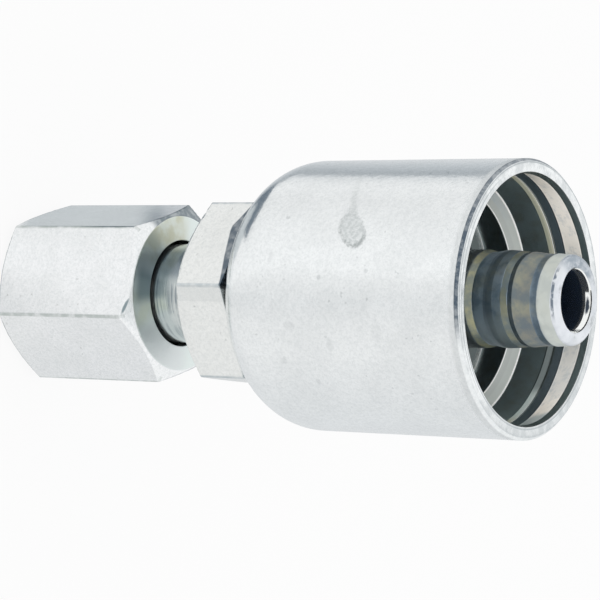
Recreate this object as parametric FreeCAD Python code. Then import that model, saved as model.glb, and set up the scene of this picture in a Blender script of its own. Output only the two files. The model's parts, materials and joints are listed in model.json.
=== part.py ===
# Crimp hose fitting: a toothed crimp shell and a swivel nut on a one-piece hose stem, in plated steel.
# Millimetres. The fitting stands on the nut's front face, with +Z along its axis towards the hose end.
# The origin is the centre of the nut's front face, where the mating fitting enters.
# Heights are measured up from that face. Depths inside the shell are measured down from its mouth.
import FreeCAD, Part
import math
import os

# Driving sizes of the swivel nut, threaded 9/16-18
thread_major_radius = 7.14
thread_minor_radius = 6.45
thread_mouth_margin = 0.2       # how far the mouth's countersink opens past the thread
nut_wall = 1.59                 # from the thread's root to a flat, 17.46 across the flats
nut_length = 19.0
nut_turn = 20.0                 # degrees from the stem's hexagon, as the free nut came to rest
nut_front_inset = 0.7           # from a flat in to the front face's edge
lip_thickness = 1.5             # the rear lip, rolled in behind the stem's collar
lip_crown = 0.27                # how far the rolling raised the lip's inner edge

# Driving sizes of the stem's seat, collar and neck
seat_half_angle = 37.0
seat_mouth_radius = 6.2
collar_length = 4.5
collar_chamfer = 0.25
neck_radius = 5.4
neck_exposed = 6.15             # bare neck between the nut and the stem's hexagon
neck_root_radius = 0.5

# Driving sizes of the stem's hexagon, shell seat and hose tail
hex_across_flats = 18.65
hex_length = 6.55
face_inset = 0.33               # from a flat in to a chamfered face's edge
shell_seat_radius = 6.3
stake_height = 0.7              # the bead that is swaged out to lock the shell
stake_edge = 0.4                # straight side of that bead, below its rounding
tail_root_radius = 0.5
bore_radius = 3.1
bore_chamfer = 0.3
tail_radius = 5.01
tail_projection = 5.35          # past the shell's mouth
tip_radius = 4.58
tip_rounding = 0.75
taper_depth = 2.85              # where the taper to the tip starts, inside the shell

# Driving sizes of the grip grooves round the hose tail, and of the two fine rings near its tip
grip_depth = 0.25
grip_slope = 1.6                # a groove's long side, towards the mouth
grip_floor = 0.3
grip_flank = 0.76               # its short side, towards the nut
grip_pitch = 5.0
first_grip_depth = 2.15
tip_ring_depth = 0.09
tip_rings = ((-0.7, 0.02, 0.55), (0.55, 2.51, 3.3))   # start, bottom and end of each, above the mouth

# Driving sizes of the crimp shell
shell_radius = 14.2
shell_length = 30.95
shoulder_radius = 6.85
end_wall = 3.4
floor_rounding = 1.5
rim_chamfer = 0.3
rim_wall = 1.35
rim_taper = 0.2
band_depth = 0.75               # depth of the narrow band inside the rim
flare_wall = 0.9
flare_depth = 3.0               # depth of the flared band that follows it
step_wall = 1.15
step_depth = 3.95
step_height = 0.1
step_flank = 0.17
step_land = 0.33
guide_wall = 1.65
root_wall = 2.13

# Driving sizes of the ring teeth inside the shell
first_tooth_depth = 7.6
tooth_pitch = 4.46
tooth_height = 0.99
tooth_face = 0.88               # length of the steep face that looks out of the mouth
tooth_land = 0.25

# Clearances of the swivel
neck_clearance = 0.38           # nut's rear hole round the neck
collar_clearance = 0.15         # collar in the nut's chamber
thrust_clearance = 0.2          # square to the sloping thrust faces
play = 0.3                      # from the last thread to the collar

chamfer_slope = math.tan(math.radians(30.0))
least_flat = 0.4                # flat that always stays round the hole in the shell's end

# Radii that follow from the sizes above
chamber_radius = thread_major_radius
collar_radius = chamber_radius - collar_clearance
nut_hole_radius = neck_radius + neck_clearance
nut_flat = thread_major_radius + nut_wall
stake_radius = shell_seat_radius + stake_height
shoulder = min(shoulder_radius, shell_radius - shell_seat_radius - least_flat)

# Heights that follow from the sizes above
lip_inner = nut_length - lip_thickness
chamber_end = lip_inner - (chamber_radius - nut_hole_radius)
thrust_shift = thrust_clearance * math.sqrt(2.0)
collar_back = lip_inner - (collar_radius - nut_hole_radius) - thrust_shift
neck_start = collar_back + (collar_radius - neck_radius)
collar_front = collar_back - collar_length
thread_end = collar_front - play
seat_bottom = collar_front + (seat_mouth_radius - bore_radius) / math.tan(math.radians(seat_half_angle))
hex_front = nut_length + neck_exposed
shell_back = hex_front + hex_length
shell_floor = shell_back + end_wall
mouth = shell_back + shell_length
tail_tip = mouth + tail_projection
stake_top = shell_floor + stake_edge + stake_height


class HalfSection:
    """A closed outline beside the axis, drawn edge by edge as radius and height, and turned about Z."""

    def __init__(self, radius, height):
        self.start = FreeCAD.Vector(radius, 0, height)
        self.pen = self.start
        self.edges = []

    def line(self, radius, height):
        end = FreeCAD.Vector(radius, 0, height)
        if end.distanceToPoint(self.pen) > 1e-6:
            self.edges.append(Part.makeLine(self.pen, end))
        self.pen = end

    def arc(self, centre_radius, centre_height, radius, height):
        """A quarter arc or less, the short way round its centre."""
        end = FreeCAD.Vector(radius, 0, height)
        centre = FreeCAD.Vector(centre_radius, 0, centre_height)
        spoke = (self.pen - centre) + (end - centre)
        middle = centre + spoke.normalize() * self.pen.distanceToPoint(centre)
        self.edges.append(Part.Arc(self.pen, middle, end).toShape())
        self.pen = end

    def turned(self):
        self.line(self.start.x, self.start.z)
        face = Part.Face(Part.Wire(self.edges))
        return face.revolve(FreeCAD.Vector(0, 0, 0), FreeCAD.Vector(0, 0, 1), 360)


def hexagon(flat, low, high, turn):
    """A six-sided prism with its corners at `turn` degrees from +Y, `flat` from the axis to a flat."""
    corner = flat / math.cos(math.radians(30.0))
    points = []
    for side in range(7):
        angle = math.radians(90.0 + turn + 60.0 * side)
        points.append(FreeCAD.Vector(corner * math.cos(angle), corner * math.sin(angle), low))
    return Part.Face(Part.makePolygon(points)).extrude(FreeCAD.Vector(0, 0, high - low))


def swivel_nut():
    reach = nut_flat * 1.3
    front_edge = nut_flat - nut_front_inset
    rear_edge = nut_flat - face_inset
    rear_low = nut_length - lip_crown

    # Both ends are turned to 30 degree cones, and the rolled lip rises to the hole
    envelope = HalfSection(0, 0)
    envelope.line(front_edge, 0)
    envelope.line(reach, (reach - front_edge) * chamfer_slope)
    envelope.line(reach, rear_low - (reach - rear_edge) * chamfer_slope)
    envelope.line(rear_edge, rear_low)
    envelope.line(nut_hole_radius, nut_length)
    envelope.line(0, nut_length)
    blank = hexagon(nut_flat, 0, nut_length, nut_turn).common(envelope.turned())

    # Countersink, threaded bore, chamber for the collar, sloping thrust face and rear hole
    mouth_radius = thread_major_radius + thread_mouth_margin
    inside = HalfSection(0, -1)
    inside.line(mouth_radius, -1)
    inside.line(mouth_radius, 0)
    inside.line(thread_minor_radius, mouth_radius - thread_minor_radius)
    inside.line(thread_minor_radius, thread_end)
    inside.line(chamber_radius, thread_end)
    inside.line(chamber_radius, chamber_end)
    inside.line(nut_hole_radius, lip_inner)
    inside.line(nut_hole_radius, nut_length + 1)
    inside.line(0, nut_length + 1)
    return blank.cut(inside.turned())


def stem_core():
    """Everything on the stem that is turned, from the cone seat to the tip of the hose tail."""
    core = HalfSection(bore_radius, seat_bottom)
    core.line(seat_mouth_radius, collar_front)
    core.line(collar_radius - collar_chamfer, collar_front)
    core.line(collar_radius, collar_front + collar_chamfer)
    core.line(collar_radius, collar_back)
    core.line(neck_radius, neck_start)
    core.line(neck_radius, hex_front - neck_root_radius)
    root = neck_radius + neck_root_radius
    core.arc(root, hex_front - neck_root_radius, root, hex_front)
    core.line(max(root, shell_seat_radius), hex_front)
    core.line(max(root, shell_seat_radius), shell_back)

    # Shell seat, then the bead swaged over the shell's inner face
    core.line(shell_seat_radius, shell_back)
    core.line(shell_seat_radius, shell_floor)
    core.line(stake_radius, shell_floor)
    core.line(stake_radius, shell_floor + stake_edge)
    core.arc(shell_seat_radius, shell_floor + stake_edge, shell_seat_radius, stake_top)
    tail_root = tail_radius + tail_root_radius
    core.line(tail_root, stake_top)
    core.arc(tail_root, stake_top + tail_root_radius, tail_radius, stake_top + tail_root_radius)

    # Hose tail, tapering past its fine rings to its rounded tip
    core.line(tail_radius, mouth - taper_depth)
    slope = (tail_radius - tip_radius) / (taper_depth + tail_projection - tip_rounding)
    for ring in tip_rings:
        for height, depth in zip(ring, (0, tip_ring_depth, 0)):
            core.line(tail_radius - slope * (taper_depth + height) - depth, mouth + height)
    core.line(tip_radius, tail_tip - tip_rounding)
    core.arc(tip_radius - tip_rounding, tail_tip - tip_rounding, tip_radius - tip_rounding, tail_tip)
    core.line(bore_radius + bore_chamfer, tail_tip)
    core.line(bore_radius, tail_tip - bore_chamfer)
    return core.turned()


def grip_grooves():
    """The grooves that the hose's tube is squeezed into, each with a long and a short sloping side."""
    width = grip_slope + grip_floor + grip_flank
    outer = tail_radius + grip_depth
    room = mouth - first_grip_depth - stake_top - tail_root_radius
    rings = []
    for number in range(math.floor((room + grip_pitch - width) / grip_pitch)):
        top = mouth - first_grip_depth - number * grip_pitch
        groove = HalfSection(tail_radius, top)
        groove.line(tail_radius - grip_depth, top - grip_slope)
        groove.line(tail_radius - grip_depth, top - grip_slope - grip_floor)
        groove.line(tail_radius, top - width)
        groove.line(outer, top - width)
        groove.line(outer, top)
        rings.append(groove.turned())
    return rings


def hose_stem():
    hex_flat = hex_across_flats / 2
    face_edge = hex_flat - face_inset
    reach = hex_flat * 1.3

    # The spanner hexagon, chamfered on the nut's side and square against the shell
    envelope = HalfSection(bore_radius, hex_front)
    envelope.line(face_edge, hex_front)
    envelope.line(reach, hex_front + (reach - face_edge) * chamfer_slope)
    envelope.line(reach, shell_back)
    envelope.line(bore_radius, shell_back)
    spanner_hex = hexagon(hex_flat, hex_front, shell_back, 0).common(envelope.turned())
    body = stem_core().fuse(spanner_hex).removeSplitter()
    return body.cut(grip_grooves())


def crimp_shell():
    rim = shell_radius - rim_wall
    step = shell_radius - step_wall
    root = shell_radius - root_wall
    crest = root - tooth_height

    # Outside: end face round the seat, big rounded shoulder, plain barrel, chamfered rim
    shell = HalfSection(shell_seat_radius, shell_back)
    shell.line(shell_radius - shoulder, shell_back)
    shell.arc(shell_radius - shoulder, shell_back + shoulder, shell_radius, shell_back + shoulder)
    shell.line(shell_radius, mouth - rim_chamfer)
    shell.line(shell_radius - rim_chamfer, mouth)

    # Inside the mouth: narrow band, flared band, a slope with a fine step, and the guide to the teeth
    shell.line(rim, mouth)
    shell.line(rim - rim_taper, mouth - band_depth)
    shell.line(shell_radius - flare_wall, mouth - flare_depth)
    shell.line(step, mouth - step_depth)
    shell.line(step + step_height, mouth - step_depth - step_flank)
    shell.line(step + step_height, mouth - step_depth - step_flank - step_land)

    # Ring teeth: a steep face towards the mouth, a narrow land, and a long slope back to the root
    face_start = shell_radius - guide_wall
    count = math.floor((shell_length - end_wall - first_tooth_depth) / tooth_pitch)
    for number in range(count):
        depth = first_tooth_depth + number * tooth_pitch
        shell.line(face_start, mouth - depth)
        shell.line(crest, mouth - depth - tooth_face)
        shell.line(crest, mouth - depth - tooth_face - tooth_land)
        shell.line(root, mouth - depth - tooth_pitch)
        face_start = root

    # Floor of the socket, seated on the stem
    shell.line(root, shell_floor + floor_rounding)
    shell.arc(root - floor_rounding, shell_floor + floor_rounding, root - floor_rounding, shell_floor)
    shell.line(shell_seat_radius, shell_floor)
    return shell.turned()


os.makedirs("parts", exist_ok=True)
for name, shape in (("swivel_nut", swivel_nut()), ("hose_stem", hose_stem()), ("crimp_shell", crimp_shell())):
    solid = shape.Solids[0]
    solid.exportStep("parts/" + name + ".step")
    print(name, "solids", len(shape.Solids), "volume", round(solid.Volume, 1), "valid", solid.isValid())
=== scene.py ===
import json
import math

import bmesh
import bpy
from mathutils import Matrix, Vector


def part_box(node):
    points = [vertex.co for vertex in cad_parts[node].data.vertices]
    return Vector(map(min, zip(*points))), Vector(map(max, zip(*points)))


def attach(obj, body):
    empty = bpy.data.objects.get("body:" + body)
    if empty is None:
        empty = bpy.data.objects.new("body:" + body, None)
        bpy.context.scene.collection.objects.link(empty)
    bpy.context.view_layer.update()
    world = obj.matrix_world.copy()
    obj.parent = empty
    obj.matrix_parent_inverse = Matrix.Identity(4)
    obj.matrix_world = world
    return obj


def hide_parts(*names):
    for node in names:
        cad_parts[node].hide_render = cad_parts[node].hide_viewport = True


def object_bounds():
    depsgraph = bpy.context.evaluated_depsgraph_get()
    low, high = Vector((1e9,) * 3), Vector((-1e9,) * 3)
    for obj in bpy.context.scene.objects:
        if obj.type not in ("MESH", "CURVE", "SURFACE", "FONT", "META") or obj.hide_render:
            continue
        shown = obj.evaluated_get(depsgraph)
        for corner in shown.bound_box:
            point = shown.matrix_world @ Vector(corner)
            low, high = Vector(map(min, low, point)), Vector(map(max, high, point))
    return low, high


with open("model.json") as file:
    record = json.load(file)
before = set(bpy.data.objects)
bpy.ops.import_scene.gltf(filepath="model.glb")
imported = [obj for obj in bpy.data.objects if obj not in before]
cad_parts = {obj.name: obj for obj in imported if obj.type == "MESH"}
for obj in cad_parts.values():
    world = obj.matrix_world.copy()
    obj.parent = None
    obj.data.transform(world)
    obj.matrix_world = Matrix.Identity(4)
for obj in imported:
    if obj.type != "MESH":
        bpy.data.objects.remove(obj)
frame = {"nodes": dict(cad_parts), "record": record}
cadLow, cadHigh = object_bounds()
mounts = {mount["name"]: mount for mount in frame["record"]["mounts"]}
mm = 0.001
print("frame loaded:", ", ".join(frame["nodes"]))


# Node helpers, for geometry and shader trees alike

def addNode(tree, kind, feeds=None, **settings):
    node = tree.nodes.new(kind)
    for name, value in settings.items():
        setattr(node, name, value)
    for socket, value in (feeds or {}).items():       # a socket is linked, a number is set
        if isinstance(value, bpy.types.NodeSocket):
            tree.links.new(value, node.inputs[socket])
        else:
            node.inputs[socket].default_value = value
    return node


def calc(tree, operation, *values):
    return addNode(tree, "ShaderNodeMath", dict(enumerate(values)), operation=operation).outputs[0]


def plus(tree, first, second):
    return calc(tree, "ADD", first, second)


def minus(tree, first, second):
    return calc(tree, "SUBTRACT", first, second)


def scaled(tree, first, second):
    return calc(tree, "MULTIPLY", first, second)


def between(tree, value, low, high, newLow=0.0, newHigh=1.0, ease="SMOOTHSTEP"):
    feeds = {"Value": value, "From Min": low, "From Max": high, "To Min": newLow, "To Max": newHigh}
    return addNode(tree, "ShaderNodeMapRange", feeds, interpolation_type=ease).outputs["Result"]


# Outlines, read from the model's own solids

outline = {
    "weld": 0.001 * mm,      # the node's points this close are one
    "onCut": 0.0005 * mm,    # and this close to the cut they lie on it
    "soften": 0.11 * mm,     # radius on a sharp edge
    "softenSteps": 4,
    "blend": 0.1 * mm,       # most that a shallow corner is eased
    "room": 0.42,            # share of the shorter side that an eased corner may take
    "hold": 0.06 * mm,       # a ring this close to each end of a long stretch keeps it straight
    "straight": math.radians(0.4),
    "gentle": math.radians(14.0),
    "sharp": math.radians(35.0),
}


def farthest(name):
    # The vertex farthest from the axis, which on a hexagon is one of its corners
    return max(frame["nodes"][name].data.vertices, key=lambda vertex: vertex.co.xy.length).co


def sectionOf(name, angle):
    # The node's outline in the half plane at that angle, in order, as (radius, height)
    bm = bmesh.new()
    bm.from_mesh(frame["nodes"][name].data)
    bmesh.ops.remove_doubles(bm, verts=bm.verts, dist=outline["weld"])
    bmesh.ops.rotate(bm, verts=bm.verts, matrix=Matrix.Rotation(-angle, 3, "Z"))
    everything = bm.verts[:] + bm.edges[:] + bm.faces[:]
    cut = bmesh.ops.bisect_plane(bm, geom=everything, dist=outline["onCut"], plane_co=(0, 0, 0),
                                 plane_no=(0, 1, 0))
    neighbours = {}
    for edge in cut["geom_cut"]:
        if isinstance(edge, bmesh.types.BMEdge) and min(v.co.x for v in edge.verts) > 0:
            first, last = edge.verts
            neighbours.setdefault(first, []).append(last)
            neighbours.setdefault(last, []).append(first)
    here = next(iter(neighbours))
    path, before = [here], None
    while True:
        onward = [v for v in neighbours[here] if v is not before]
        before, here = here, onward[0]
        if here is path[0]:
            break
        path.append(here)
    points = [Vector((v.co.x, v.co.z)) for v in path]
    bm.free()
    return points


def turnAt(before, here, after):
    return (here - before).angle(after - here)


def tidied(points):
    # Without the points that lie on a straight stretch, and anticlockwise
    kept = list(points)
    while True:
        rest = [p for i, p in enumerate(kept)
                if turnAt(kept[i - 1], p, kept[(i + 1) % len(kept)]) > outline["straight"]]
        if len(rest) == len(kept):
            break
        kept = rest
    area = sum(kept[i - 1].cross(p) for i, p in enumerate(kept))
    return kept if area > 0 else kept[::-1]


def softened(points):
    # A sharp corner gets a small radius, and the steps of a curve are eased into each other
    eased = []
    for i, here in enumerate(points):
        before, after = points[i - 1], points[(i + 1) % len(points)]
        turn = turnAt(before, here, after)
        room = outline["room"] * min((here - before).length, (after - here).length)
        sharp = turn > outline["sharp"]
        trim = min(room, outline["soften"] * math.tan(turn / 2) if sharp else outline["blend"])
        start = here + (before - here).normalized() * trim
        end = here + (after - here).normalized() * trim
        steps = outline["softenSteps"] if sharp else 1 if turn < outline["gentle"] else 2
        for step in range(steps + 1):
            share = step / steps
            near = start.lerp(here, share)
            eased.append(near.lerp(here.lerp(end, share), share))
    return eased


def heldStraight(points, spacing):
    # Rings that hold a long stretch straight, and even rings where spacing(middle) asks for them
    held = []
    for i, start in enumerate(points):
        end = points[(i + 1) % len(points)]
        length = (end - start).length
        held.append(start)
        marks = []
        if length > 4 * outline["hold"]:
            marks += [outline["hold"] / length, 1 - outline["hold"] / length]
        even = spacing((start + end) / 2)
        if even and length > 2 * even:
            count = math.ceil(length / even)
            marks += [step / count for step in range(1, count)]
        held += [start.lerp(end, mark) for mark in sorted(set(marks))]
    return held


# Turned piece: the outline swept round the axis, with a hexagon and a thread where it has them

def turnedTree(name, hexagon, thread):
    tree = bpy.data.node_groups.new(name, "GeometryNodeTree")
    face = tree.interface
    labels = ["Corner Angle"]
    labels += ["Flat", "Crowding", "Edge Softness", "Square End", "End Softness"] if hexagon else []
    labels += ["Crest", "Root", "Pitch", "Thread End"] if thread else []
    face.new_socket("Outline", in_out="INPUT", socket_type="NodeSocketGeometry")
    face.new_socket("Segments", in_out="INPUT", socket_type="NodeSocketInt")
    for label in labels:
        face.new_socket(label, in_out="INPUT", socket_type="NodeSocketFloat")
    face.new_socket("Material", in_out="INPUT", socket_type="NodeSocketMaterial")
    face.new_socket("Piece", in_out="OUTPUT", socket_type="NodeSocketGeometry")
    given = tree.nodes.new("NodeGroupInput").outputs

    # The outline becomes a profile, carried round a circle of 1 m and set back to the axis
    position = tree.nodes.new("GeometryNodeInputPosition").outputs[0]
    x, y, height = addNode(tree, "ShaderNodeSeparateXYZ", {0: position}).outputs
    flat = addNode(tree, "ShaderNodeCombineXYZ", {0: minus(tree, x, 1.0), 1: scaled(tree, height, -1.0)})
    laid = addNode(tree, "GeometryNodeSetPosition",
                   {"Geometry": given["Outline"], "Position": flat.outputs[0]})
    profile = addNode(tree, "GeometryNodeMeshToCurve", {"Mesh": laid.outputs[0]})
    circle = addNode(tree, "GeometryNodeCurvePrimitiveCircle",
                     {"Resolution": given["Segments"], "Radius": 1.0})
    swept = addNode(tree, "GeometryNodeCurveToMesh",
                    {"Curve": circle.outputs["Curve"], "Profile Curve": profile.outputs["Curve"]})

    # From here the same position is read on the swept points
    radius = calc(tree, "SQRT", plus(tree, scaled(tree, x, x), scaled(tree, y, y)))
    angle = calc(tree, "ARCTAN2", y, x)
    if hexagon:
        # Segments crowd towards the corners, and each point is drawn in to the nearest flat
        swing = calc(tree, "SINE", scaled(tree, angle, 6.0))
        angle = minus(tree, angle, scaled(tree, swing, given["Crowding"]))
        side = calc(tree, "FLOORED_MODULO", angle, math.radians(60))
        lean = calc(tree, "ABSOLUTE", minus(tree, side, math.radians(30)))
        nearFlat = calc(tree, "DIVIDE", given["Flat"], calc(tree, "COSINE", lean))
        across = calc(tree, "COSINE", minus(tree, math.radians(60), lean))
        nextFlat = calc(tree, "DIVIDE", given["Flat"], across)
        flats = calc(tree, "SMOOTH_MIN", nearFlat, nextFlat, given["Edge Softness"])
        # The square end is rounded over along the flats as well
        rise = minus(tree, height, minus(tree, given["Square End"], given["End Softness"]))
        rise = calc(tree, "MINIMUM", calc(tree, "MAXIMUM", rise, 0.0), given["End Softness"])
        whole = scaled(tree, given["End Softness"], given["End Softness"])
        left = calc(tree, "SQRT", minus(tree, whole, scaled(tree, rise, rise)))
        flats = minus(tree, flats, minus(tree, given["End Softness"], left))
        radius = calc(tree, "SMOOTH_MIN", radius, flats, given["Edge Softness"])
    if thread:
        # A right-hand helix, flat at its crest and root, that fades out over its last half turn
        turns = minus(tree, calc(tree, "DIVIDE", height, given["Pitch"]),
                      calc(tree, "DIVIDE", angle, 2 * math.pi))
        across = calc(tree, "ABSOLUTE", minus(tree, calc(tree, "FRACT", turns), 0.5))
        share = between(tree, across, 1 / 16, 6 / 16, 1.0, 0.0, "LINEAR")
        fadeFrom = minus(tree, given["Thread End"], scaled(tree, given["Pitch"], 0.5))
        share = scaled(tree, share, between(tree, height, fadeFrom, given["Thread End"], 1.0, 0.0))
        depth = minus(tree, given["Root"], given["Crest"])
        groove = plus(tree, given["Crest"], scaled(tree, share, depth))
        inBore = calc(tree, "LESS_THAN", radius, plus(tree, given["Root"], 0.3 * mm))
        below = calc(tree, "LESS_THAN", height, given["Thread End"])
        inThread = scaled(tree, inBore, below)
        cut = scaled(tree, calc(tree, "MAXIMUM", minus(tree, groove, radius), 0.0), inThread)
        radius = plus(tree, radius, cut)

    angle = plus(tree, angle, given["Corner Angle"])
    newX = scaled(tree, radius, calc(tree, "COSINE", angle))
    newY = scaled(tree, radius, calc(tree, "SINE", angle))
    shaped = addNode(tree, "ShaderNodeCombineXYZ", {0: newX, 1: newY, 2: height})
    moved = addNode(tree, "GeometryNodeSetPosition",
                    {"Geometry": swept.outputs[0], "Position": shaped.outputs[0]})
    joined = addNode(tree, "GeometryNodeMergeByDistance",
                     {"Geometry": moved.outputs[0], "Distance": 2 * outline["weld"]})
    smooth = addNode(tree, "GeometryNodeSetShadeSmooth",
                     {"Geometry": joined.outputs[0], "Shade Smooth": True})
    whole = addNode(tree, "GeometryNodeRealizeInstances", {"Geometry": smooth.outputs[0]})
    dressed = addNode(tree, "GeometryNodeSetMaterial",
                      {"Geometry": whole.outputs[0], "Material": given["Material"]})
    addNode(tree, "NodeGroupOutput", {"Piece": dressed.outputs[0]})
    return tree


def turnedPiece(name, node, body, material, values, spacing=lambda middle: None):
    rings = heldStraight(softened(tidied(sectionOf(node, values["Corner Angle"]))), spacing)
    loop = bpy.data.meshes.new(name + "Outline")
    edges = [(i, (i + 1) % len(rings)) for i in range(len(rings))]
    loop.from_pydata([(p.x, 0, p.y) for p in rings], edges, [])
    carrier = bpy.data.objects.new(name + "Outline", loop)
    bpy.context.scene.collection.objects.link(carrier)
    tree = turnedTree(name + "Turning", "Flat" in values, "Pitch" in values)
    modifier = carrier.modifiers.new("Turning", "NODES")
    modifier.node_group = tree
    inputs = dict(values, Material=material)
    for item in tree.interface.items_tree:
        if item.in_out == "INPUT" and item.name in inputs:
            modifier[item.identifier] = inputs[item.name]
    bpy.context.view_layer.update()
    result = carrier.evaluated_get(bpy.context.evaluated_depsgraph_get())
    mesh = bpy.data.meshes.new_from_object(result)
    carrier.modifiers.remove(modifier)
    bpy.data.objects.remove(carrier)

    # Faces point outwards
    bm = bmesh.new()
    bm.from_mesh(mesh)
    if bm.calc_volume(signed=True) < 0:
        bmesh.ops.reverse_faces(bm, faces=bm.faces)
    openEdges = sum(1 for edge in bm.edges if not edge.is_manifold)
    triangles = sum(len(f.verts) - 2 for f in bm.faces)
    bm.to_mesh(mesh)
    volume = bm.calc_volume(signed=True) / mm ** 3
    bm.free()
    piece = bpy.data.objects.new(name, mesh)
    bpy.context.scene.collection.objects.link(piece)
    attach(piece, body)
    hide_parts(node)
    print(name, "made:", len(rings), "rings,", triangles, "triangles,", openEdges, "open edges,",
          round(volume, 1), "mm3")
    return piece


# Steel: a base tone that is painted over by place, with its own roughness and relief

def startSteel(name, look):
    material = bpy.data.materials.new(name)
    material.use_nodes = True
    tree = material.node_tree
    place = addNode(tree, "ShaderNodeTexCoord").outputs["Object"]
    x, y, height = addNode(tree, "ShaderNodeSeparateXYZ", {0: place}).outputs
    across = addNode(tree, "ShaderNodeVectorMath", {0: place, 1: (1, 1, 0)}, operation="MULTIPLY").outputs[0]
    radius = addNode(tree, "ShaderNodeVectorMath", {0: across}, operation="LENGTH").outputs["Value"]
    normal = addNode(tree, "ShaderNodeNewGeometry").outputs["Normal"]
    return {
        "tree": tree, "material": material, "place": place, "height": height, "radius": radius,
        "angle": calc(tree, "ARCTAN2", y, x),
        "facingUp": addNode(tree, "ShaderNodeSeparateXYZ", {0: normal}).outputs[2],
        "colour": look["tone"], "roughness": look["roughness"], "relief": [],
    }


def noise(steel, size, detail=2.0, rough=0.5):
    # Soft noise with features of about that size
    feeds = {"Vector": steel["place"], "Scale": 1 / size, "Detail": detail, "Roughness": rough}
    return addNode(steel["tree"], "ShaderNodeTexNoise", feeds).outputs["Fac"]


def ringNoise(steel, size, detail=2.0, sweep=0.12):
    # Noise that runs in rings round the axis, as a turning tool leaves it
    tree = steel["tree"]
    along = scaled(tree, steel["angle"], sweep * mm)
    rings = addNode(tree, "ShaderNodeCombineXYZ", {0: steel["radius"], 1: along, 2: steel["height"]})
    feeds = {"Vector": rings.outputs[0], "Scale": 1 / size, "Detail": detail, "Roughness": 0.6}
    return addNode(tree, "ShaderNodeTexNoise", feeds).outputs["Fac"]


def mixed(tree, share, first, second):
    mix = addNode(tree, "ShaderNodeMix", data_type="RGBA")
    for socket, value in ((0, share), (6, first), (7, second)):
        if isinstance(value, bpy.types.NodeSocket):
            tree.links.new(value, mix.inputs[socket])
        else:
            mix.inputs[socket].default_value = value if socket == 0 else (*value[:3], 1)
    return mix.outputs[2]


def times(steel, *shares):
    product = shares[0]
    for share in shares[1:]:
        product = scaled(steel["tree"], product, share)
    return product


def paint(steel, colour, *shares):
    # Over what is there already, as far as the product of the shares goes
    steel["colour"] = mixed(steel["tree"], times(steel, *shares), steel["colour"], colour)


def dull(steel, roughness, *shares):
    # The same for the roughness
    tree = steel["tree"]
    change = scaled(tree, times(steel, *shares), minus(tree, roughness, steel["roughness"]))
    steel["roughness"] = plus(tree, steel["roughness"], change)


def inside(steel, value, low, high, soft):
    # 1 between low and high, fading to 0 over the soft margin outside them
    tree = steel["tree"]
    rise = between(tree, value, low - soft, low)
    return scaled(tree, rise, between(tree, value, high, high + soft, 1.0, 0.0))


def span(steel, value, ends):
    # The same for (from, to, margin) in mm
    low, high, soft = (end * mm for end in ends)
    return inside(steel, value, low, high, soft)


def patches(steel, size, detail, low, high, least=0.0, most=1.0, rough=0.5):
    # Soft patches of about that size, which begin and fill up at two levels of the noise
    return between(steel["tree"], noise(steel, size, detail, rough), low, high, least, most)


def turnFrom(steel, degrees):
    # Degrees round the axis from that direction, between -180 and 180
    tree = steel["tree"]
    shifted = plus(tree, steel["angle"], math.radians(180.0 - degrees))
    whole = calc(tree, "FLOORED_MODULO", shifted, 2 * math.pi)
    return scaled(tree, minus(tree, whole, math.pi), 180.0 / math.pi)


def sector(steel, degrees, half, soft):
    # 1 on that side of the fitting, as far as half to each way, fading over the soft margin
    away = calc(steel["tree"], "ABSOLUTE", turnFrom(steel, degrees))
    return between(steel["tree"], away, half, half + soft, 1.0, 0.0)


def offMark(steel, degrees, height, size, wander=0.0, wanderSize=0.5 * mm):
    # 0 at the middle of a small mark and 1 at its rim; size is (along the turn, along the axis)
    tree = steel["tree"]
    along = scaled(tree, turnFrom(steel, degrees), math.pi / 180.0)
    along = calc(tree, "DIVIDE", scaled(tree, along, steel["radius"]), size[0])
    up = calc(tree, "DIVIDE", minus(tree, steel["height"], height), size[1])
    away = calc(tree, "SQRT", plus(tree, scaled(tree, along, along), scaled(tree, up, up)))
    if wander:
        drift = minus(tree, noise(steel, wanderSize, 3.0), 0.5)
        away = plus(tree, away, scaled(tree, drift, wander))
    return away


def mark(steel, *where):
    # 1 in the middle of a small mark, fading towards its rim
    return between(steel["tree"], offMark(steel, *where), 0.45, 1.0, 1.0, 0.0)


def bands(steel, where, level, zones, soft, wobble):
    # Painted light and shade in rings along the axis, each (from, to, tone, lean); a lean tips the surface
    # towards the mouth
    tree = steel["tree"]
    drift = scaled(tree, minus(tree, ringNoise(steel, 1.3 * mm, 3.0, 4.0), 0.5), wobble)
    uneven = plus(tree, level, drift)
    for low, high, tone, lean in zones:
        band = inside(steel, uneven, low * mm + soft / 2, high * mm - soft / 2, soft)
        paint(steel, tone, where, band)
        if lean:
            fall = between(tree, level, low * mm, high * mm, 0.0, -lean * (high - low), "LINEAR")
            steel["relief"].append(times(steel, where, fall))


def hexCorners(steel, corner, flat, width):
    # 1 along the six corners of a hexagon
    tree = steel["tree"]
    turn = minus(tree, steel["angle"], corner - math.radians(30))
    side = minus(tree, calc(tree, "FLOORED_MODULO", turn, math.radians(60)), math.radians(30))
    away = scaled(tree, calc(tree, "ABSOLUTE", side), steel["radius"])
    near = between(tree, away, width * 0.4, width, 1.0, 0.0)
    return times(steel, near, calc(tree, "GREATER_THAN", steel["radius"], flat * 1.08))


cornerWear = (1.2 * mm, 3.0, 0.35, 0.6, 0.3, 0.8)      # patches along the corners of both hexagons


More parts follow.
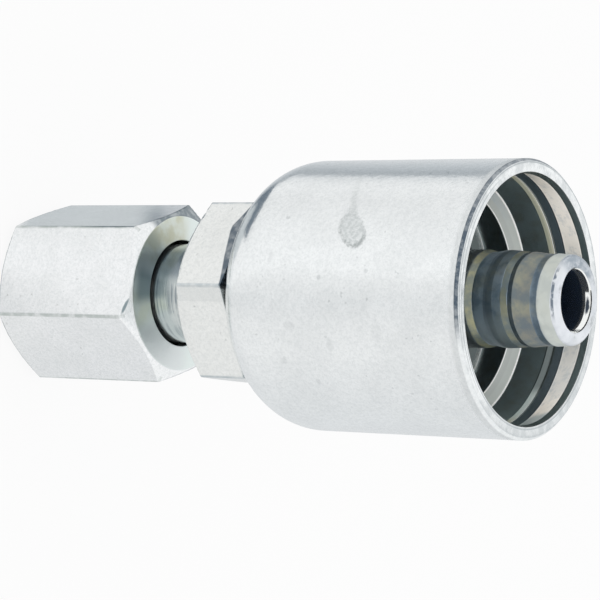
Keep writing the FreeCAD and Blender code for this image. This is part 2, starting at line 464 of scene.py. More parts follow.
def plating(steel, look):
    # Clouds in the plating, flecks, frost and a few pits; what lies on it is painted after this
    cloud = patches(steel, look["cloudSize"], 5.0, 0.36, 0.64, rough=0.62)
    paint(steel, look["cloudTone"], cloud, look["clouding"])
    flecks = patches(steel, look["grainSize"], 3.0, 0.4, 0.66, rough=0.65)
    paint(steel, look["fleckTone"], flecks, look["flecking"])
    frost = patches(steel, look["grainSize"] * 0.42, 1.0, 0.42, 0.68)
    paint(steel, look["fleckTone"], frost, look["frosting"])
    busy = patches(steel, look["cloudSize"] * 0.7, 2.0, 0.48, 0.62)
    pits = times(steel, patches(steel, look["pitSize"], 1.0, 0.68, 0.76), busy)
    paint(steel, look["pitTone"], pits, look["pitting"])
    dull(steel, look["cloudRoughness"], cloud, 0.5)


def finishSteel(steel, look):
    tree = steel["tree"]
    shader = tree.nodes["Principled BSDF"]
    shader.inputs["Metallic"].default_value = look["metal"]
    # Orange peel, which breaks up what the steel mirrors
    grain = noise(steel, look["grainSize"], 3.0, 0.65)
    peel = noise(steel, look["peelSize"], 2.0, 0.55)
    relief = plus(tree, scaled(tree, peel, look["peelHeight"]), scaled(tree, grain, look["grainHeight"]))
    for extra in steel["relief"]:
        relief = plus(tree, relief, extra)
    bump = addNode(tree, "ShaderNodeBump", {"Height": relief, "Distance": mm, "Strength": 1.0})
    for socket, value in (("Base Color", steel["colour"]), ("Roughness", steel["roughness"])):
        if isinstance(value, bpy.types.NodeSocket):
            tree.links.new(value, shader.inputs[socket])
        else:
            shader.inputs[socket].default_value = value
    tree.links.new(bump.outputs[0], shader.inputs["Normal"])
    return steel["material"]


# Crimp shell

shell = {
    "segments": 240,
    "tone": (0.925, 0.95, 0.955), "roughness": 0.14, "metal": 0.93,
    "cloudSize": 5.0 * mm, "clouding": 0.5, "cloudTone": (0.84, 0.865, 0.87), "cloudRoughness": 0.2,
    "grainSize": 0.42 * mm, "flecking": 0.34, "fleckTone": (0.70, 0.735, 0.745), "frosting": 0.25,
    "pitSize": 0.5 * mm, "pitting": 0.4, "pitTone": (0.42, 0.45, 0.46),
    "peelSize": 0.85 * mm, "peelHeight": 0.018, "grainHeight": 0.008,
    # Socket: its floor above the shell's back, and its wall, which thins out between two depths; inside it
    # the steel gets painted shade
    "socketFloor": 3.2 * mm, "deepWall": 1.3 * mm, "mouthWall": 0.6 * mm, "thinning": (8 * mm, 5 * mm),
    "darkTone": (0.37, 0.45, 0.47), "insideRoughness": 0.34,
    "oilTone": (0.29, 0.30, 0.27), "oilPatches": (2.5 * mm, 3.0, 0.42, 0.66), "oiling": 0.5,
    # Painted light and shade in bands inside the mouth, in mm above it: (from, to, tone, lean)
    "rings": ((-0.75, -0.12, (0.135, 0.175, 0.18), 0.0),
              (-3.0, -0.75, (0.86, 0.82, 0.75), 1.0),
              (-3.95, -3.0, (0.17, 0.21, 0.24), 0.0),
              (-4.47, -4.2, (0.40, 0.40, 0.31), 0.9),
              (-4.8, -4.47, (0.30, 0.31, 0.24), 0.8),
              (-4.24, -3.94, (0.93, 0.93, 0.89), 0.6)),
    # A painted highlight along the root of the teeth, as (from, to, tone, lean)
    "rootLine": ((-12.32, -12.02, (0.95, 0.95, 0.93), 0.9),),
    # Shade on the flare and the first crest; spans are (from, to, margin) in mm above the mouth
    "flare": (-3.0, -0.7, 0.1), "coolSide": (66.0, 18.0, 7.0), "shadeSide": (-34.0, -28.0),
    "coolPatches": (1.1 * mm, 4.0, 0.48, 0.68, 0.0, 1.0, 0.65),
    "crest": (-4.9, -3.9, 0.08), "faintSide": (55.0, 22.0, 16.0), "hiddenSide": (62.0, 10.0, 8.0),
    # Steep tooth faces: tones of painted reflection, highlight and shade, and how far in from the teeth's
    # root they change
    "faceTone": (0.50, 0.535, 0.515), "faceCool": (0.40, 0.455, 0.49), "crestTone": (0.46, 0.49, 0.475),
    "faceEdge": (0.95, 0.95, 0.93), "deepTone": (0.14, 0.165, 0.165),
    "teeth": (12.3 * mm, 7.3 * mm), "outerWall": 1 * mm, "secondTooth": (-9.6 * mm, -9.4 * mm),
    "rootShine": (0.1 * mm, 0.2 * mm), "crestFrom": (0.76 * mm, 0.88 * mm),
    "crestShine": (1.33 * mm, 1.39 * mm),
    # Rim: painted shade as a dark band on its outer corner and as fine lines on its face, by side; lines are
    # (outer, inner) in mm from outside
    "edgeTone": (0.10, 0.135, 0.175), "edgeDepth": 0.22 * mm, "edgeSpan": (-0.38, -0.02, 0.05),
    "lineTone": (0.42, 0.46, 0.48), "lining": 0.75, "rimLine": (0.32, 0.42), "innerLine": (0.76, 0.86),
    "farLine": (1.08, 1.2), "innerSide": (-95.0, 30.0, 30.0), "farSide": (15.0, 70.0, 20.0),
    "rimShadeSide": (25.0, 40.0, 30.0), "ragged": (0.8 * mm, 3.0, 0.36, 0.6, 0.7, 1.0, 0.7),
    "burnished": (-1.3 * mm, -0.8 * mm), "burnishedRoughness": 0.5,
    # Dried drip: its run and its drop, as degrees round and height above the shell's back
    "stainTone": (0.60, 0.64, 0.64), "stainRim": (0.38, 0.41, 0.41), "stainRoughness": 0.3,
    "run": (-111.7, 17.75 * mm), "runSlope": 0.0835 * mm, "runWidth": (0.42 * mm, 1.0 * mm),
    "drop": (-113.5, 17.55 * mm), "dropSlope": 0.105 * mm, "dropSize": (2.05 * mm, 1.6 * mm),
    "speckles": (0.32 * mm, 3.0, 0.38, 0.6, 0.35, 1.0, 0.7),
    # Small pits and smudges: degrees round, mm above the back, (across, along) in mm, strength
    "marks": ((-92.9, 14.7, (0.35, 0.3), 0.5), (-95.6, 20.25, (0.3, 0.3), 0.45),
              (-118.9, 9.3, (0.25, 0.3), 0.45), (-65.2, 15.7, (0.9, 0.6), 0.25),
              (-58.0, 9.6, (0.6, 0.5), 0.22), (-73.0, 11.0, (0.5, 0.9), 0.2),
              (-101.0, 8.5, (0.9, 0.4), 0.2), (-70.5, 21.5, (1.6, 0.9), 0.14),
              (-48.0, 13.0, (0.5, 0.4), 0.3)),
}
shellBack, shellMouth = (corner.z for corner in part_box("crimp_shell"))
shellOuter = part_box("crimp_shell")[1].x


def toothRoot():
    # Radius at the root of the teeth, where their steep faces start
    deepest, first = (shellMouth - depth for depth in shell["teeth"])
    spots = [v.co for v in frame["nodes"]["crimp_shell"].data.vertices if deepest < v.co.z < first]
    return max(spot.xy.length for spot in spots if spot.xy.length < shellOuter - shell["outerWall"])


def paintSocket(steel, level):
    # Painted shade in there, with darker patches, painted bands of light and shade, and a painted highlight
    # on the flare
    tree = steel["tree"]
    deep, shallow = (shellMouth - depth for depth in shell["thinning"])
    wall = between(tree, steel["height"], deep, shallow,
                   shellOuter - shell["deepWall"], shellOuter - shell["mouthWall"])
    within = times(steel, calc(tree, "LESS_THAN", steel["radius"], wall),
                   inside(steel, steel["height"], shellBack + shell["socketFloor"], shellMouth - 0.1 * mm,
                          0.05 * mm))
    # Painted shade all through the socket
    paint(steel, shell["darkTone"], within)
    oil = patches(steel, *shell["oilPatches"])
    paint(steel, shell["oilTone"], within, oil, shell["oiling"])
    bands(steel, within, level, shell["rings"], 0.07 * mm, 0.05 * mm)

    flare = times(steel, within, span(steel, level, shell["flare"]))
    paint(steel, shell["faceCool"], flare, sector(steel, *shell["coolSide"]), 0.3)
    paint(steel, shell["faceCool"], flare, patches(steel, *shell["coolPatches"]), 0.4)
    shaded = between(tree, turnFrom(steel, 60.0), *shell["shadeSide"], 1.0, 0.0)
    paint(steel, shell["darkTone"], flare, shaded, 0.8)
    faint = times(steel, within, span(steel, level, shell["crest"]), sector(steel, *shell["faintSide"]))
    paint(steel, shell["darkTone"], faint, 0.6)
    paint(steel, shell["deepTone"], faint, sector(steel, *shell["hiddenSide"]), 0.9)
    paintTeeth(steel, level, within, oil)
    dull(steel, shell["insideRoughness"], within)


def paintTeeth(steel, level, within, oil):
    # Steep faces get painted reflection tones, painted highlights at their root and crest, and painted shade
    # on the second tooth
    tree = steel["tree"]
    steep = times(steel, within, between(tree, steel["facingUp"], 0.45, 0.7))
    paint(steel, shell["faceTone"], steep)
    cool = times(steel, between(tree, turnFrom(steel, 145.0), -14.0, 14.0),
                 between(tree, oil, 0.0, 1.0, 0.5, 1.0))
    paint(steel, shell["faceCool"], steep, cool)
    fromRoot = minus(tree, toothRoot(), steel["radius"])
    paint(steel, shell["crestTone"], steep, between(tree, fromRoot, *shell["crestFrom"]))
    second = between(tree, level, *shell["secondTooth"], 1.0, 0.0)
    paint(steel, shell["deepTone"], steep, second)
    shine = calc(tree, "MAXIMUM", between(tree, fromRoot, *shell["rootShine"], 1.0, 0.0),
                 times(steel, between(tree, fromRoot, *shell["crestShine"]), 0.9,
                       between(tree, level, *shell["secondTooth"])))
    paint(steel, shell["faceEdge"], steep, shine)
    bands(steel, within, level, shell["rootLine"], 0.05 * mm, 0.0)


def paintRim(steel, level):
    # Painted shade: a ragged dark band on the outer corner on one side, fine lines and a grey tone round the
    # face by side, and faint grey patches
    tree = steel["tree"]
    ragged = patches(steel, *shell["ragged"])
    corner = inside(steel, steel["radius"], shellOuter - shell["edgeDepth"], shellOuter + 0.05 * mm,
                    0.05 * mm)
    edge = times(steel, corner, span(steel, level, shell["edgeSpan"]))
    turn = turnFrom(steel, -90.0)
    shadedSide = times(steel, between(tree, turn, 10.0, 26.0, 1.0, 0.0),
                    between(tree, turn, -80.0, -12.0, 0.75, 1.0))
    paint(steel, shell["edgeTone"], edge, shadedSide, ragged)
    face = between(tree, level, -0.04 * mm, -0.02 * mm)
    rimLine, innerLine, farLine = (
        inside(steel, steel["radius"], shellOuter - shell[line][1] * mm, shellOuter - shell[line][0] * mm,
               0.05 * mm) for line in ("rimLine", "innerLine", "farLine"))
    rimLine = times(steel, face, rimLine, between(tree, turn, 8.0, 30.0, 1.0, 0.2))
    innerLine = times(steel, face, sector(steel, *shell["innerSide"]), innerLine)
    farLine = times(steel, face, sector(steel, *shell["farSide"]), farLine)
    lines = calc(tree, "MAXIMUM", calc(tree, "MAXIMUM", rimLine, innerLine), farLine)
    paint(steel, shell["lineTone"], lines, ragged, shell["lining"])
    paint(steel, shell["lineTone"], face, 0.35, patches(steel, 1.4 * mm, 4.0, 0.4, 0.6))
    # Painted shade on one side of the face
    paint(steel, shell["lineTone"], face, sector(steel, *shell["rimShadeSide"]), 0.3)


def paintDrip(steel, outside):
    # A thin run that dried on the barrel, down to one round drop
    tree = steel["tree"]
    degrees, height = shell["run"]
    turn = turnFrom(steel, degrees)
    line = plus(tree, shellBack + height, scaled(tree, turn, shell["runSlope"]))
    off = calc(tree, "ABSOLUTE", minus(tree, steel["height"], line))
    drift = minus(tree, noise(steel, 0.9 * mm, 4.0, 0.6), 0.5)
    off = plus(tree, off, scaled(tree, drift, 0.5 * mm))
    width = between(tree, turn, -16.0, -4.0, *shell["runWidth"])
    run = times(steel, between(tree, minus(tree, width, off), -0.1 * mm, 0.3 * mm),
                inside(steel, turn, -34.0, -3.0, 3.0), between(tree, turn, -30.0, -8.0, 0.3, 0.8))
    degrees, height = shell["drop"]
    upright = scaled(tree, turnFrom(steel, degrees), shell["dropSlope"])
    away = offMark(steel, degrees, plus(tree, upright, shellBack + height), shell["dropSize"],
                   0.32, 0.4 * mm)
    drop = between(tree, away, 0.84, 1.0, 1.0, 0.0)
    rim = times(steel, inside(steel, away, 0.84, 0.98, 0.1), between(tree, turn, -6.0, 4.0, 0.1, 0.8))
    speckles = patches(steel, *shell["speckles"])
    wet = times(steel, outside, calc(tree, "MAXIMUM", run, drop))
    paint(steel, shell["stainTone"], wet, speckles, 0.8)
    paint(steel, shell["stainRim"], rim, speckles, outside)
    dull(steel, shell["stainRoughness"], wet, 0.5)


def shellSteel():
    steel = startSteel("shellPlating", shell)
    tree = steel["tree"]
    plating(steel, shell)
    level = minus(tree, steel["height"], shellMouth)
    outside = calc(tree, "GREATER_THAN", steel["radius"], shellOuter - 0.5 * mm)
    paintSocket(steel, level)
    paintRim(steel, level)
    # The barrel's end is burnished dull, next to the rim
    dull(steel, shell["burnishedRoughness"], outside, between(tree, level, *shell["burnished"]))
    paintDrip(steel, outside)
    for degrees, height, size, strength in shell["marks"]:
        pit = mark(steel, degrees, shellBack + height * mm, (size[0] * mm, size[1] * mm), 1.1, 0.3 * mm)
        paint(steel, shell["pitTone"], pit, strength * 0.7, outside)
    return finishSteel(steel, shell)


# Hose stem, from its cone seat to the tip of the hose tail

stem = {
    "segments": 192, "hexRings": 0.35 * mm, "edgeSoftness": 0.16 * mm, "crowding": 0.11,
    "tone": (0.92, 0.935, 0.92), "roughness": 0.17, "metal": 0.93,
    "cloudSize": 4.0 * mm, "clouding": 0.4, "cloudTone": (0.85, 0.865, 0.845), "cloudRoughness": 0.24,
    "grainSize": 0.4 * mm, "flecking": 0.3, "fleckTone": (0.68, 0.71, 0.71), "frosting": 0.2,
    "pitSize": 0.5 * mm, "pitting": 0.45, "pitTone": (0.42, 0.44, 0.44),
    "peelSize": 0.9 * mm, "peelHeight": 0.015, "grainHeight": 0.007,
    # Neck, which lies this far inside the hexagon's flats and keeps the marks of the turning tool, with
    # painted shade on one side and next to the hexagon
    "neckTone": (0.66, 0.70, 0.69), "neckDark": (0.16, 0.21, 0.25), "neckInset": (3.2 * mm, 3.0 * mm),
    "toolMarks": 0.22 * mm, "toolRelief": 0.012, "neckShade": (-124.0, 12.0, 22.0),
    "foot": (-0.42 * mm, -0.3 * mm),
    # Hexagon: dull corners, and painted shade on its square end whose edge follows the shoulder, as steps of
    # (from, to) in degrees and (from, to) in mm
    "cornerWidth": 0.3 * mm, "edgeTone": (0.50, 0.56, 0.59), "shadeTone": (0.05, 0.085, 0.125),
    "shadeEdge": ((-40.0, 0.0, -1.35, -0.1), (-58.0, -44.0, 1.35, 0.0), (-20.0, -4.0, -0.2, 0.0)),
    # Reach of the painted shade on the square end, and the side of the rear edge that gets painted shade
    "ledge": 2.9 * mm, "edgeShadeSide": (0.3, 9.0, 0.6),
    # Painted light and shade in bands along the hose tail, in mm above the shell's mouth: (from, to, tone,
    # lean)
    "rings": ((-4.81, -4.05, (0.37, 0.365, 0.235), 0.4),
              (-4.05, -2.7, (0.33, 0.42, 0.50), 0.1),
              (-2.7, -1.7, (0.21, 0.265, 0.32), 0.06),
              (-1.7, -0.7, (0.32, 0.40, 0.48), 0.1),
              (-0.7, 0.02, (0.14, 0.155, 0.12), 0.3),
              (0.02, 0.55, (0.27, 0.35, 0.44), 0.06),
              (0.55, 2.51, (0.245, 0.25, 0.22), 0.42),
              (2.51, 3.3, (0.24, 0.31, 0.38), 0.16),
              (3.3, 4.75, (0.60, 0.635, 0.60), 0.5),
              (4.75, 5.4, (0.80, 0.83, 0.87), 0.0)),
    "tailFrom": (3.0 * mm, 3.2 * mm), "tailRoughness": 0.32, "tailRelief": 0.006,
    "tailTone": (0.32, 0.36, 0.38), "tailBlue": (0.10, 0.15, 0.20), "tailOlive": (0.36, 0.36, 0.26),
    "bluePatches": (1.9 * mm, 4.0, 0.4, 0.66, 0.0, 1.0, 0.6), "olivePatches": (2.6 * mm, 3.0, 0.44, 0.68),
    "patchFadeFrom": (3.0 * mm, 3.6 * mm), "under": (-4.0, -0.76, 0.1), "underTone": (0.50, 0.58, 0.64),
    "groove": (4.86, 5.04, 0.06), "grooveSide": (-96.0, 22.0, 20.0), "lineTone": (0.10, 0.14, 0.19),
    # Tip with painted shade on one side of its end, and a bore with painted shade deeper than these heights
    # from the tip, full at the first of them
    "boreShadeFrom": (-1.25 * mm, -1.05 * mm), "boreTone": (0.22, 0.30, 0.42), "litBore": (62.0, 34.0, 22.0),
    "endCool": (0.31, 0.365, 0.42), "endSide": (176.0, 26.0, 34.0), "nickTone": (0.04, 0.055, 0.075),
}


def paintNeck(steel, flat, hexFront, lathe):
    # Turning marks all along it, with painted shade on one side and where it meets the hexagon
    tree = steel["tree"]
    inner, outer = (flat - inset for inset in stem["neckInset"])
    neck = times(steel, between(tree, steel["radius"], inner, outer, 1.0, 0.0),
                 between(tree, steel["height"], hexFront - 0.1 * mm, hexFront + 0.1 * mm, 1.0, 0.0))
    paint(steel, stem["neckTone"], neck)
    streak = times(steel, between(tree, lathe, 0.4, 0.68), patches(steel, 2.2 * mm, 2.0, 0.35, 0.6))
    paint(steel, stem["neckDark"], neck, streak, 0.85)
    # Painted shade on one side, and next to the hexagon
    paint(steel, stem["neckDark"], neck, sector(steel, *stem["neckShade"]), 0.8)
    foot = between(tree, steel["height"], *(hexFront + place for place in stem["foot"]))
    paint(steel, stem["neckDark"], neck, foot, 0.8)
    steel["relief"].append(times(steel, neck, lathe, stem["toolRelief"]))


def paintHexagon(steel, flat, hexFront):
    # Duller corners, and painted shade on the square end under the shell's shoulder and on one side of its
    # rear edge
    tree = steel["tree"]
    corners = hexCorners(steel, stemValues["Corner Angle"], flat, stem["cornerWidth"])
    paint(steel, stem["edgeTone"], corners, patches(steel, *cornerWear))
    turn = turnFrom(steel, -90.0)
    ledge = calc(tree, "GREATER_THAN", steel["radius"], flat - stem["ledge"])
    inHex = inside(steel, steel["height"], hexFront, shellBack + 0.1 * mm, 0.1 * mm)
    start = shellBack
    for fromTurn, toTurn, first, last in stem["shadeEdge"]:
        start = plus(tree, start, between(tree, turn, fromTurn, toTurn, first * mm, last * mm, "LINEAR"))
    late = between(tree, minus(tree, steel["height"], start), -0.08 * mm, 0.08 * mm)
    upper = between(tree, turn, -1.0, 3.0, 0.9, 0.15)
    mottle = patches(steel, 0.9 * mm, 3.0, 0.3, 0.6, 0.75, 1.0)
    paint(steel, stem["shadeTone"], ledge, inHex, late, upper, mottle)
    # Painted shade on one side of the rear edge
    edgeShade = times(steel, ledge, inHex, inside(steel, turn, *stem["edgeShadeSide"]))
    paint(steel, stem["fleckTone"], edgeShade, 0.35)


def paintTail(steel, bore, level, lathe):
    # Painted light and shade in blue and olive bands over a dark tone, with blue and olive patches that fade
    # towards the tip
    tree = steel["tree"]
    tail = times(steel, between(tree, steel["height"], *(shellBack + place for place in stem["tailFrom"])),
                 calc(tree, "GREATER_THAN", steel["radius"], bore))
    paint(steel, stem["tailTone"], tail)
    bands(steel, tail, level, stem["rings"], 0.1 * mm, 0.3 * mm)
    patchStrength = between(tree, level, *stem["patchFadeFrom"], 1.0, 0.25)
    paint(steel, stem["tailOlive"], tail, patches(steel, *stem["olivePatches"]), patchStrength, 0.5)
    paint(steel, stem["tailBlue"], tail, patches(steel, *stem["bluePatches"]), patchStrength, 0.6)
    # Painted light on the underside
    underside = times(steel, tail, between(tree, turnFrom(steel, -90.0), 16.0, 40.0),
                      span(steel, level, stem["under"]))
    paint(steel, stem["underTone"], underside, 0.6)
    groove = times(steel, tail, span(steel, level, stem["groove"]), sector(steel, *stem["grooveSide"]),
                   patches(steel, 0.7 * mm, 3.0, 0.35, 0.55))
    paint(steel, stem["lineTone"], groove, 0.85)
    dull(steel, stem["tailRoughness"], tail)
    steel["relief"].append(times(steel, tail, lathe, stem["tailRelief"]))


def paintTip(steel, bore, level):
    # Painted shade in a cool tone on the upper left of the end, and painted shade in the bore except round
    # its mouth
    tree = steel["tree"]
    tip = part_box("hose_stem")[1].z
    face = between(tree, level, 4.7 * mm, 4.9 * mm)
    cool = between(tree, ringNoise(steel, 0.5 * mm, 3.0, 2.0), 0.35, 0.6, 0.4, 0.9)
    paint(steel, stem["endCool"], face, sector(steel, *stem["endSide"]), cool)
    narrow = between(tree, steel["radius"], bore - 0.1 * mm, bore, 1.0, 0.0)
    paint(steel, stem["tone"], narrow)
    down = between(tree, steel["height"], *(tip + place for place in stem["boreShadeFrom"]), 1.0, 0.0)
    # Painted shade deeper in the bore
    paint(steel, stem["boreTone"], narrow, down)
    lit = times(steel, narrow, sector(steel, *stem["litBore"]))
    lean = between(tree, steel["height"], tip - 0.8 * mm, tip, 0.0, -0.75, "LINEAR")
    steel["relief"].append(times(steel, lit, lean))
    darkMark = mark(steel, 84.0, tip - 0.55 * mm, (1.1 * mm, 0.3 * mm), 0.6, 0.4 * mm)
    paint(steel, stem["nickTone"], darkMark, narrow)


def stemSteel():
    steel = startSteel("stemPlating", stem)
    plating(steel, stem)
    flat = stemValues["Flat"]
    level = minus(steel["tree"], steel["height"], shellMouth)
    stemPoints = frame["nodes"]["hose_stem"].data.vertices
    hexFront = min(v.co.z for v in stemPoints if v.co.xy.length > 0.9 * flat)
    bore = mounts["flow_bore"]["dims"]["r_mm"] * mm + 0.15 * mm
    lathe = ringNoise(steel, stem["toolMarks"], 4.0)
    paintNeck(steel, flat, hexFront, lathe)
    paintHexagon(steel, flat, hexFront)
    paintTail(steel, bore, level, lathe)
    paintTip(steel, bore, level)
    return finishSteel(steel, stem)


# Swivel nut

nut = {
    "segments": 192, "hexRings": 0.35 * mm, "edgeSoftness": 0.2 * mm, "crowding": 0.11,
    "pitch": 25.4 / 18 * mm, "threadDepth": 0.69 * mm, "threadRings": 12,
    "tone": (0.93, 0.945, 0.955), "roughness": 0.18, "metal": 0.93,
    "cloudSize": 4.5 * mm, "clouding": 0.45, "cloudTone": (0.85, 0.87, 0.87), "cloudRoughness": 0.25,
    "grainSize": 0.38 * mm, "flecking": 0.32, "fleckTone": (0.67, 0.71, 0.72), "frosting": 0.22,
    "pitSize": 0.5 * mm, "pitting": 0.45, "pitTone": (0.42, 0.44, 0.43),
    "peelSize": 0.9 * mm, "peelHeight": 0.018, "grainHeight": 0.008,
    # The rolled lip at the back, with painted light and shade by side: (degrees round, half width, margin)
    "lipFrom": (-0.36 * mm, -0.3 * mm), "lipInset": (0.32 * mm, 0.25 * mm), "lipTone": (0.78, 0.85, 0.835),
    "lipPatches": (1.6 * mm, 3.0, 0.3, 0.6, 0.35, 0.9),
    "lipGold": (0.58, 0.59, 0.46), "goldSide": (-148.0, 20.0, 22.0),
    "lipOlive": (0.72, 0.77, 0.68), "oliveSide": (-73.0, 8.0, 12.0),
    "lipBlue": (0.20, 0.27, 0.295), "blueSide": (-92.0, 7.0, 14.0), "blueReach": (7.2 * mm, 8.6 * mm),
    "upperBlueSide": (-122.0, 10.0, 14.0),
    "lipBright": (0.74, 0.785, 0.79), "brightSide": (-22.0, 22.0, 20.0),
    # Corners, painted shade on the front edge, a back chamfer darker on one side, and a painted shade mark
    # on the back corner
    "cornerWidth": 0.28 * mm, "edgeTone": (0.48, 0.53, 0.51), "frontTone": (0.40, 0.45, 0.47),
    "frontInset": 0.75 * mm, "chamferInset": 0.33 * mm, "collarTone": (0.20, 0.24, 0.265),
    "chamferSide": (-184.0, 36.0, 9.0), "chamferPatches": (0.8 * mm, 3.0, 0.3, 0.6, 0.7, 1.0),
    "darkMark": (-76.0, -0.8 * mm, (0.95 * mm, 0.15 * mm)), "darkMarkSlope": -0.05 * mm,
    # Thread, chamber and rear hole, with painted shade inside
    "insideTone": (0.34, 0.36, 0.35), "insideRoughness": 0.34, "holeInset": (1.35 * mm, 1.25 * mm),
}


def nutSteel():
    steel = startSteel("nutPlating", nut)
    tree = steel["tree"]
    plating(steel, nut)
    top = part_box("swivel_nut")[1].z
    flat = nutValues["Flat"]

    # The rolled lip is dull, with painted light and shade by side: golden to one side, blue-grey to another
    # and a painted highlight on a third
    inner, outer = (flat - inset for inset in nut["lipInset"])
    lip = times(steel, between(tree, steel["height"], *(top + place for place in nut["lipFrom"])),
                between(tree, steel["radius"], inner, outer, 1.0, 0.0))
    paint(steel, nut["lipTone"], lip)
    patchy = patches(steel, *nut["lipPatches"])
    paint(steel, nut["lipGold"], lip, sector(steel, *nut["goldSide"]), patchy)
    paint(steel, nut["lipOlive"], lip, sector(steel, *nut["oliveSide"]), patchy)
    blue = times(steel, sector(steel, *nut["blueSide"]),
                 between(tree, steel["radius"], *nut["blueReach"], 1.0, 0.25))
    paint(steel, nut["lipBlue"], lip, blue, 0.9)
    paint(steel, nut["lipBlue"], lip, sector(steel, *nut["upperBlueSide"]), 0.4)
    paint(steel, nut["lipBright"], lip, sector(steel, *nut["brightSide"]))

    # Worn corners, painted shade on the front edge where its faces look down, a back chamfer darker on one
    # side in patches, and a painted shade mark on the back corner
    corners = hexCorners(steel, nutValues["Corner Angle"], flat, nut["cornerWidth"])
    paint(steel, nut["edgeTone"], corners, patches(steel, *cornerWear))
    # Painted shade on the faces of the front edge that look down
    front = times(steel, between(tree, steel["facingUp"], -0.35, -0.15, 1.0, 0.0),
                  calc(tree, "GREATER_THAN", steel["radius"], flat - nut["frontInset"]))
    paint(steel, nut["frontTone"], front, 0.8)
    chamfer = times(steel, between(tree, steel["facingUp"], 0.2, 0.4),
                    calc(tree, "GREATER_THAN", steel["radius"], flat - nut["chamferInset"]))
    darkPatches = patches(steel, *nut["chamferPatches"])
    paint(steel, nut["collarTone"], chamfer, sector(steel, *nut["chamferSide"]), darkPatches)
    # Painted shade mark on the back corner
    degrees, height, size = nut["darkMark"]
    slant = scaled(tree, turnFrom(steel, degrees), nut["darkMarkSlope"])
    darkMark = mark(steel, degrees, plus(tree, slant, top + height), size, 0.3, 0.5 * mm)
    paint(steel, nut["lipBlue"], darkMark, 0.9)

    inner, outer = (flat - inset for inset in nut["holeInset"])
    # Painted shade in the hole through the nut, thread and chamber included
    hole = times(steel, between(tree, steel["radius"], inner, outer, 1.0, 0.0),
                 inside(steel, steel["height"], 0.1 * mm, top - 0.5 * mm, 0.1 * mm))
    paint(steel, nut["insideTone"], hole)
    dull(steel, nut["insideRoughness"], calc(tree, "MAXIMUM", lip, hole))
    return finishSteel(steel, nut)


# The three pieces

def hexValues(node, piece, squareEnd):
    corner = farthest(node)
    return {"Segments": piece["segments"], "Corner Angle": math.atan2(corner.y, corner.x),
            "Flat": corner.xy.length * math.cos(math.radians(30)), "Crowding": piece["crowding"],
            "Edge Softness": piece["edgeSoftness"], "Square End": squareEnd,
            "End Softness": outline["soften"]}


stemValues = hexValues("hose_stem", stem, shellBack)
nutValues = hexValues("swivel_nut", nut, 1.0)
thread = mounts["nut_thread"]
threadCrest = thread["dims"]["r_mm"] * mm
nutValues.update({"Crest": threadCrest, "Root": threadCrest + nut["threadDepth"], "Pitch": nut["pitch"],
                  "Thread End": thread["pos_m"][2] + thread["dims"]["length_mm"] * mm / 2})


def nutSpacing(middle):
    if middle.x > nutValues["Flat"]:
        return nut["hexRings"]
    inThread = middle.x < nutValues["Root"] and middle.y < nutValues["Thread End"]
    return nut["pitch"] / nut["threadRings"] if inThread else None


turnedPiece("shellBody", "crimp_shell", "hose_end", shellSteel(),
            {"Segments": shell["segments"], "Corner Angle": 0.0})
turnedPiece("stemBody", "hose_stem", "hose_end", stemSteel(), stemValues,
            lambda middle: stem["hexRings"] if middle.x > stemValues["Flat"] else None)
turnedPiece("nutBody", "swivel_nut", "nut", nutSteel(), nutValues, nutSpacing)
print("pieces made")


# Stage: floor, world and camera

stage = {
    "floorSize": 4.0, "floorDrop": 0.1 * mm, "paper": 0.8, "backdrop": 0.9, "sky": 1.0,
    # Painted shade on the paper, seen only in reflections: how bright it is mirrored, by its direction from
    # the fitting in degrees
    "mirrored": ((-180, 0.95), (-166, 0.91), (-150, 0.95), (-130, 1.0), (-118, 1.04), (-106, 1.03),
                 (-96, 0.94), (-81, 0.86), (-60, 0.90), (-40, 0.92), (-20, 0.87), (4, 0.84), (30, 0.81),
                 (60, 0.77), (95, 0.76), (126, 0.71), (139, 0.60), (149, 0.50), (157, 0.39), (161, 0.37),
                 (162.5, 0.72), (168, 0.84), (176, 0.94), (180, 0.95)),
    "shade": (0.90, 0.99, 1.07),     # tint of the darker directions
    # A painted shadow under the fitting, seen only in reflections on the nut and the shoulder: a dim spot
    # with a darker ring round it
    "spot": (-18 * mm, 4 * mm), "spotRadius": 12.5 * mm, "spotTone": (0.59, 0.63, 0.65),
    "ring": (11 * mm, 21 * mm), "ringEdge": -22 * mm, "ringEnd": 15 * mm, "ringSoft": 3 * mm,
    "ringTone": (0.07, 0.115, 0.165),
}


def whiteForEye(tree):
    # 1 for a ray from the camera, a mirror or glass, and 0 for the light that falls on things
    path = addNode(tree, "ShaderNodeLightPath").outputs
    seen = calc(tree, "MAXIMUM", path["Is Camera Ray"], path["Is Glossy Ray"])
    return calc(tree, "MAXIMUM", seen, path["Is Transmission Ray"]), path["Is Camera Ray"]


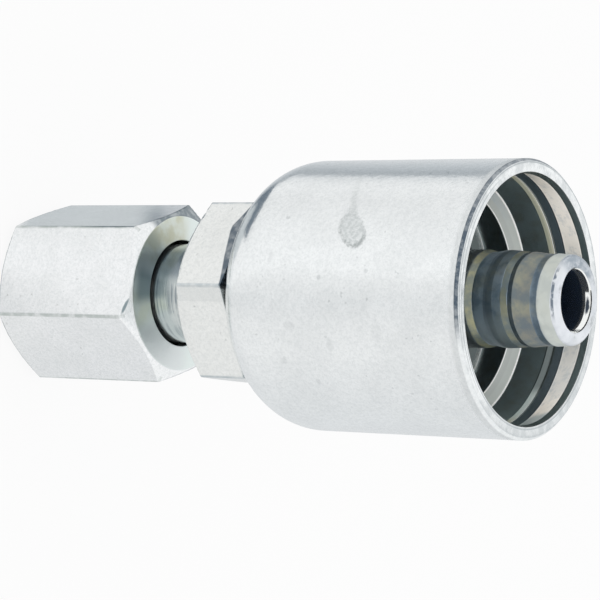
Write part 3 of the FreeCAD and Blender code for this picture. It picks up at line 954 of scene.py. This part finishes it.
def mirroredTone(tree):
    # Painted shade on the paper as the steel mirrors it, darker by direction and with a painted shadow under
    # the fitting
    place = addNode(tree, "ShaderNodeTexCoord").outputs["Object"]
    x, y = addNode(tree, "ShaderNodeSeparateXYZ", {0: place}).outputs[:2]
    turn = calc(tree, "DIVIDE", plus(tree, calc(tree, "ARCTAN2", y, x), math.pi), 2 * math.pi)
    ramp = addNode(tree, "ShaderNodeValToRGB", {0: turn})
    stops = ramp.color_ramp.elements
    for degrees, tone in stage["mirrored"]:
        spot = (degrees + 180) / 360
        stop = stops[0] if degrees == -180 else stops[-1] if degrees == 180 else stops.new(spot)
        deep = max(0.0, 0.9 - tone) / 0.5
        stop.color = [tone * (1 + (tint - 1) * deep) for tint in stage["shade"]] + [1]
    under = (*stage["spot"], cadLow.z - stage["floorDrop"])
    reach = addNode(tree, "ShaderNodeVectorMath", {0: place, 1: under}, operation="DISTANCE")
    reach = reach.outputs["Value"]
    soft, (inner, outer) = stage["ringSoft"], stage["ring"]
    middle = between(tree, reach, stage["spotRadius"], stage["spotRadius"] + soft, 1.0, 0.0)
    tone = mixed(tree, middle, ramp.outputs["Color"], stage["spotTone"])
    ring = scaled(tree, between(tree, reach, inner - soft, inner),
                  between(tree, reach, outer, outer + soft, 1.0, 0.0))
    ring = scaled(tree, ring, between(tree, y, stage["ringEnd"], stage["ringEnd"] + soft, 1.0, 0.0))
    ring = scaled(tree, ring, between(tree, x, stage["ringEdge"], stage["ringEdge"] + soft, 1.0, 0.0))
    return mixed(tree, ring, tone, stage["ringTone"])


def makeFloor():
    half = stage["floorSize"] / 2
    mesh = bpy.data.meshes.new("floor")
    level = cadLow.z - stage["floorDrop"]
    corners = [(-half, -half, level), (half, -half, level), (half, half, level), (-half, half, level)]
    mesh.from_pydata(corners, [], [(0, 1, 2, 3)])
    floor = bpy.data.objects.new("floor", mesh)
    bpy.context.scene.collection.objects.link(floor)
    material = bpy.data.materials.new("floorPaper")
    material.use_nodes = True
    tree = material.node_tree
    tree.nodes.remove(tree.nodes["Principled BSDF"])
    seen, eye = whiteForEye(tree)
    glowTone = mixed(tree, eye, mirroredTone(tree), (1, 1, 1))
    matt = addNode(tree, "ShaderNodeBsdfDiffuse", {"Color": (stage["paper"],) * 3 + (1,)})
    glow = addNode(tree, "ShaderNodeEmission", {"Color": glowTone, "Strength": 1.0})
    mix = addNode(tree, "ShaderNodeMixShader", {0: scaled(tree, seen, stage["backdrop"]),
                                                1: matt.outputs[0], 2: glow.outputs[0]})
    tree.links.new(mix.outputs[0], tree.nodes["Material Output"].inputs["Surface"])
    mesh.materials.append(material)


def makeWorld():
    world = bpy.data.worlds.new("studio")
    bpy.context.scene.world = world
    world.use_nodes = True
    background = world.node_tree.nodes["Background"]
    background.inputs["Color"].default_value = (1, 1, 1, 1)
    background.inputs["Strength"].default_value = stage["sky"]


camera = {
    "aim": (0.468 * mm, 0.431 * mm, 34.273 * mm), "distance": 303.605 * mm, "azimuth": 4.4703,
    "elevation": 34.4683, "roll": 91.1125, "lens": 171.5304, "sensor": 36.0,
}


def makeCamera():
    azimuth, elevation = math.radians(camera["azimuth"]), math.radians(camera["elevation"])
    back = Vector((math.sin(azimuth) * math.cos(elevation), -math.cos(azimuth) * math.cos(elevation),
                   math.sin(elevation)))
    data = bpy.data.cameras.new("camera")
    data.lens = camera["lens"]
    data.sensor_width = camera["sensor"]
    data.clip_start = 0.01
    data.clip_end = 20.0
    eye = bpy.data.objects.new("camera", data)
    bpy.context.scene.collection.objects.link(eye)
    level = back.to_track_quat("Z", "Y").to_matrix()
    rolled = level @ Matrix.Rotation(math.radians(camera["roll"]), 3, "Z")
    place = Vector(camera["aim"]) + back * camera["distance"]
    eye.matrix_world = Matrix.Translation(place) @ rolled.to_4x4()
    bpy.context.scene.camera = eye


makeFloor()
makeWorld()
makeCamera()
bpy.context.scene.view_settings.view_transform = "Standard"
print("stage and camera set")
